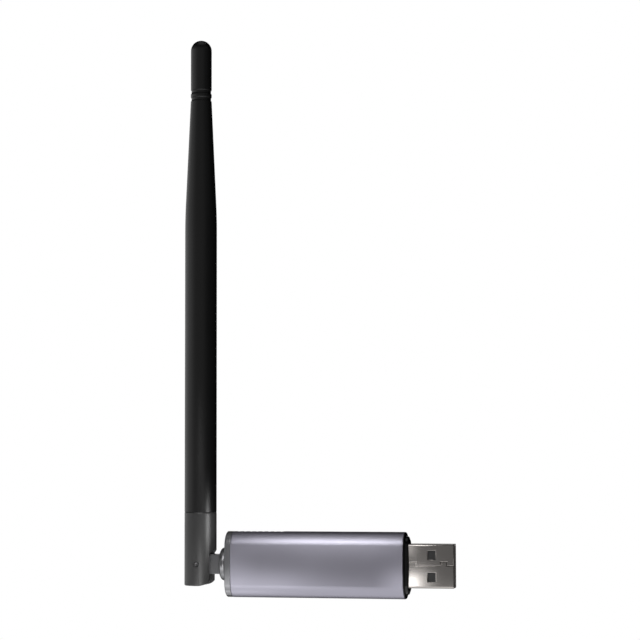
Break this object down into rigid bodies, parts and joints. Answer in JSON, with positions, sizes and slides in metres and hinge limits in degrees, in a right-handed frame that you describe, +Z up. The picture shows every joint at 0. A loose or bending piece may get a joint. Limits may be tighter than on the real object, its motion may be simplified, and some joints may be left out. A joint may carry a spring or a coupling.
{
  "type": "smart home usb radio stick",
  "caption": "Flat oval aluminium radio stick with a folded steel plug at one end and a long rod antenna that swivels and folds at the other.",
  "frame": {"origin": "centre of the end cap's outer face, where the plug stands out of it", "axes": "+X along the stick towards the plug's mouth, +Z up along the antenna as it stands at rest, -Y out of the broad face that the picture shows"},
  "size_m": [0.0758, 0.009, 0.1561],
  "materials": {
    "housing_aluminium": "bead-blasted and anodised violet-grey, satin",
    "gloss_black": "gloss",
    "cap_grey": "fine satin",
    "plug_nickel": "nickel-plated, satin",
    "tongue_black": "matte",
    "board_green": "solder mask",
    "chip_black": "matte",
    "tinplate": "bright tin",
    "ferrite_grey": "matte",
    "contact_gold": "gold-plated",
    "lead_black": "smooth",
    "washer_white": "natural",
    "knuckle_black": "fine satin",
    "spring_steel": "oiled",
    "antenna_black": "fine satin",
    "radome_black": "satin",
    "pin_steel": "blackened, worn at its end",
    "dipole_brass": "drawn",
    "copper": "drawn",
    "foam_grey": "foam",
    "resistor_black": "glazed",
    "capacitor_tan": "fired"
  },
  "bodies": {
    "stick": {"housing_sleeve": "housing_aluminium", "plug_end_cap": "gloss_black", "antenna_end_cap": "cap_grey", "usb_shell": "plug_nickel", "usb_tongue": "tongue_black", "usb_contact_1": "contact_gold", "usb_contact_2": "contact_gold", "usb_contact_3": "contact_gold", "usb_contact_4": "contact_gold", "circuit_board": "board_green", "usb_bridge_chip": "chip_black", "bridge_crystal": "tinplate", "voltage_regulator": "chip_black", "power_inductor": "ferrite_grey", "radio_chip": "chip_black", "radio_crystal": "tinplate", "shield_can": "tinplate", "capacitor_1": "capacitor_tan", "capacitor_2": "capacitor_tan", "capacitor_3": "capacitor_tan", "capacitor_4": "capacitor_tan", "capacitor_5": "capacitor_tan", "capacitor_6": "capacitor_tan", "resistor_1": "resistor_black", "resistor_2": "resistor_black", "resistor_3": "resistor_black", "resistor_4": "resistor_black", "coax_socket": "contact_gold", "coax_plug": "contact_gold", "coax_lead": "lead_black", "swivel_washer": "washer_white"},
    "swivel": {"swivel_knuckle": "knuckle_black", "swivel_clip": "spring_steel", "swivel_coax": "lead_black"},
    "antenna": {"antenna_base": "antenna_black", "hinge_pin_front": "pin_steel", "hinge_pin_rear": "pin_steel", "antenna_radome": "radome_black", "antenna_coax": "lead_black", "dipole_sleeve": "dipole_brass", "feed_insulator": "washer_white", "dipole_rod": "copper", "rod_spacer": "foam_grey"}
  },
  "joints": [
    {"name": "antenna_swivel", "type": "hinge", "parent": "stick", "child": "swivel", "pos_m": [-0.0511, 0, 0], "axis": [1, 0, 0], "range_deg": [-175, 175]},
    {"name": "antenna_elbow", "type": "hinge", "parent": "swivel", "child": "antenna", "pos_m": [-0.05913, 0, 0], "axis": [0, -1, 0], "range_deg": [0, 90]}
  ]
}
